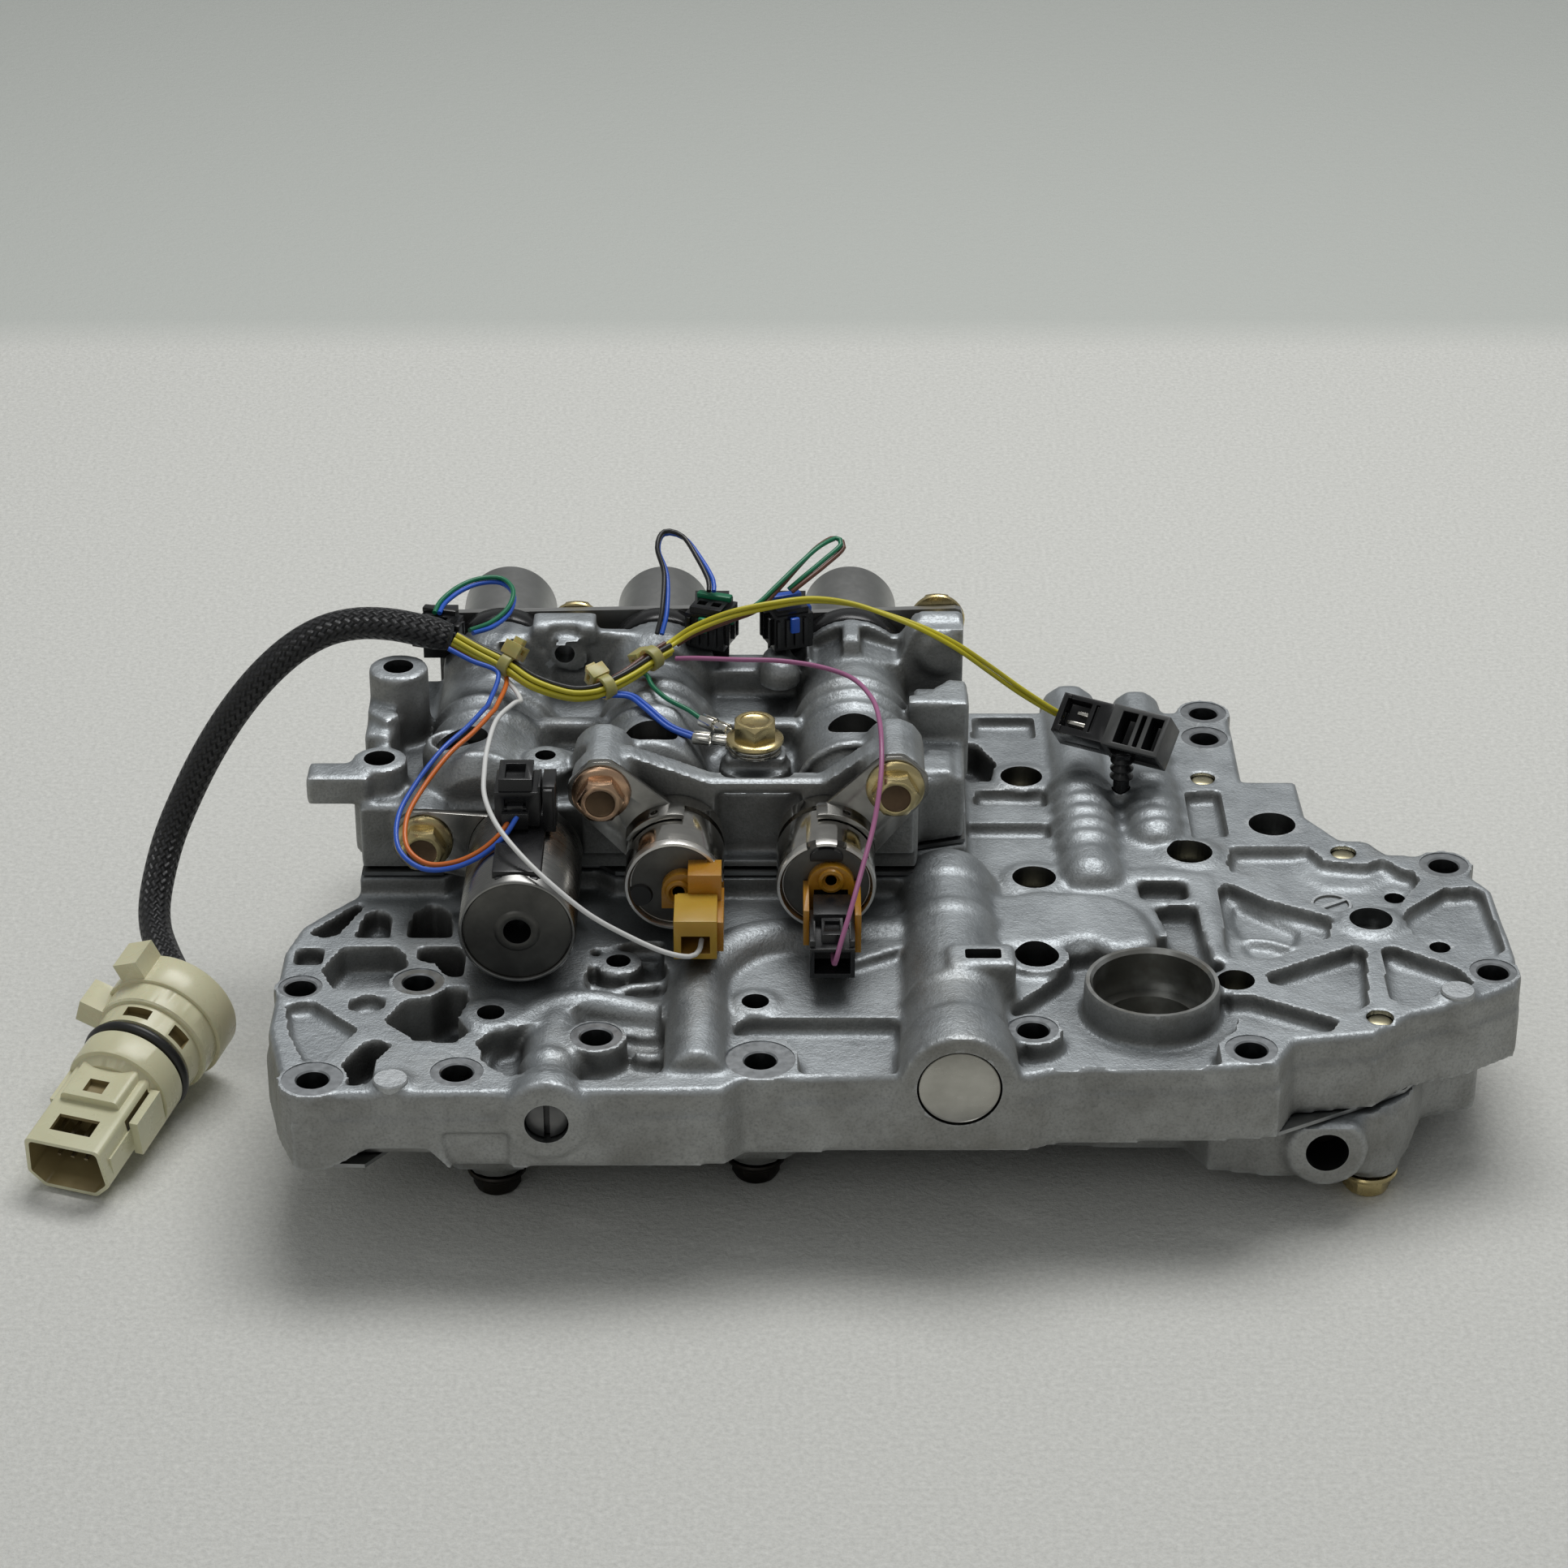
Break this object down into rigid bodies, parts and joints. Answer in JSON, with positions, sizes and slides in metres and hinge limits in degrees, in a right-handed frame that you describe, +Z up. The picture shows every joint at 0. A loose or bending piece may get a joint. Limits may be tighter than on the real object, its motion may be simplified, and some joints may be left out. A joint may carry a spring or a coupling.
{
  "type": "transmission valve body",
  "caption": "Automatic transmission valve body: stacked die-cast aluminium plates with spool valves, front and rear solenoids, and a wiring loom that ends in a round case connector.",
  "frame": {"origin": "on the bench, below the middle of the assembly without its sleeve and case connector", "axes": "+X to the right along the long side, +Y from the front solenoids to the rear ones, +Z up from the bench"},
  "size_m": [0.36, 0.2, 0.1099],
  "materials": {
    "zinc": "yellow zinc plated steel",
    "copper": "zinc plated steel with a copper tint",
    "nickel": "nickel plated steel, bright",
    "tie": "yellowed nylon",
    "ivory": "ivory, slightly aged",
    "sleeve": "black braid",
    "yellow": "insulation",
    "cast": "die-cast, cool grey, satin with shiny fillets",
    "turned": "turned, bright",
    "steel": "bare sheet steel",
    "black": "black",
    "can": "dark grey coated steel",
    "tin": "tinned",
    "rubber": "black",
    "amber": "translucent amber",
    "green": "insulation",
    "blue": "insulation",
    "white": "insulation",
    "purple": "insulation"
  },
  "bodies": {
    "stack": {"bottom_bolt_1": "zinc", "bottom_bolt_2": "zinc", "bottom_bolt_3": "zinc", "bottom_bolt_4": "zinc", "bottom_bolt_5": "zinc", "bottom_bolt_6": "zinc", "bracket_bolt_d": "copper", "bracket_bolt_e": "zinc", "bracket_bolt_p": "zinc", "bracket_d": "nickel", "bracket_e": "nickel", "bracket_p": "nickel", "cable_tie_1": "tie", "cable_tie_2": "tie", "cable_tie_3": "tie", "case_connector": "ivory", "ground_bolt": "zinc", "loom_sleeve": "sleeve", "loom_trunk": "yellow", "lower_casting": "cast", "main_casting": "cast", "modifier_plug": "turned", "modifier_spring": "steel", "pressure_plug": "black", "pressure_solenoid": "can", "rear_bolt_1": "zinc", "rear_bolt_2": "zinc", "rear_plate_left": "steel", "rear_plate_right": "steel", "rear_plug_a": "black", "rear_plug_b": "black", "rear_plug_c": "black", "rear_solenoid_a": "can", "rear_solenoid_b": "can", "rear_solenoid_c": "can", "regulator_plug": "turned", "regulator_spring": "steel", "ring_terminal_1": "tin", "ring_terminal_2": "tin", "seal_ring": "rubber", "sensor_plug": "black", "separator_plate": "steel", "shift_plug_d": "amber", "shift_plug_e": "black", "shift_solenoid_d": "nickel", "shift_solenoid_e": "nickel", "upper_casting": "cast", "upper_separator_plate": "steel", "wire_ground": "green", "wire_loop_a": "green", "wire_loop_b": "blue", "wire_loop_c": "green", "wire_pair_ground": "blue", "wire_pair_pressure": "blue", "wire_pair_sensor": "yellow", "wire_shift_d": "white", "wire_shift_e": "purple"},
    "regulator_valve": {"regulator_valve": "turned"},
    "modifier_valve": {"modifier_valve": "turned"},
    "manual_valve": {"manual_valve": "turned"}
  },
  "joints": [
    {"name": "regulator_slide", "type": "slide", "parent": "stack", "child": "regulator_valve", "axis": [0, 1, 0], "range_m": [0, 0.006], "stiffness_N_per_m": 600, "springref_m": -0.004, "deforming": ["regulator_spring"]},
    {"name": "modifier_slide", "type": "slide", "parent": "stack", "child": "modifier_valve", "axis": [0, 1, 0], "range_m": [0, 0.004], "stiffness_N_per_m": 400, "springref_m": -0.004, "deforming": ["modifier_spring"]},
    {"name": "manual_slide", "type": "slide", "parent": "stack", "child": "manual_valve", "axis": [0, 1, 0], "range_m": [-0.008, 0.02]}
  ]
}
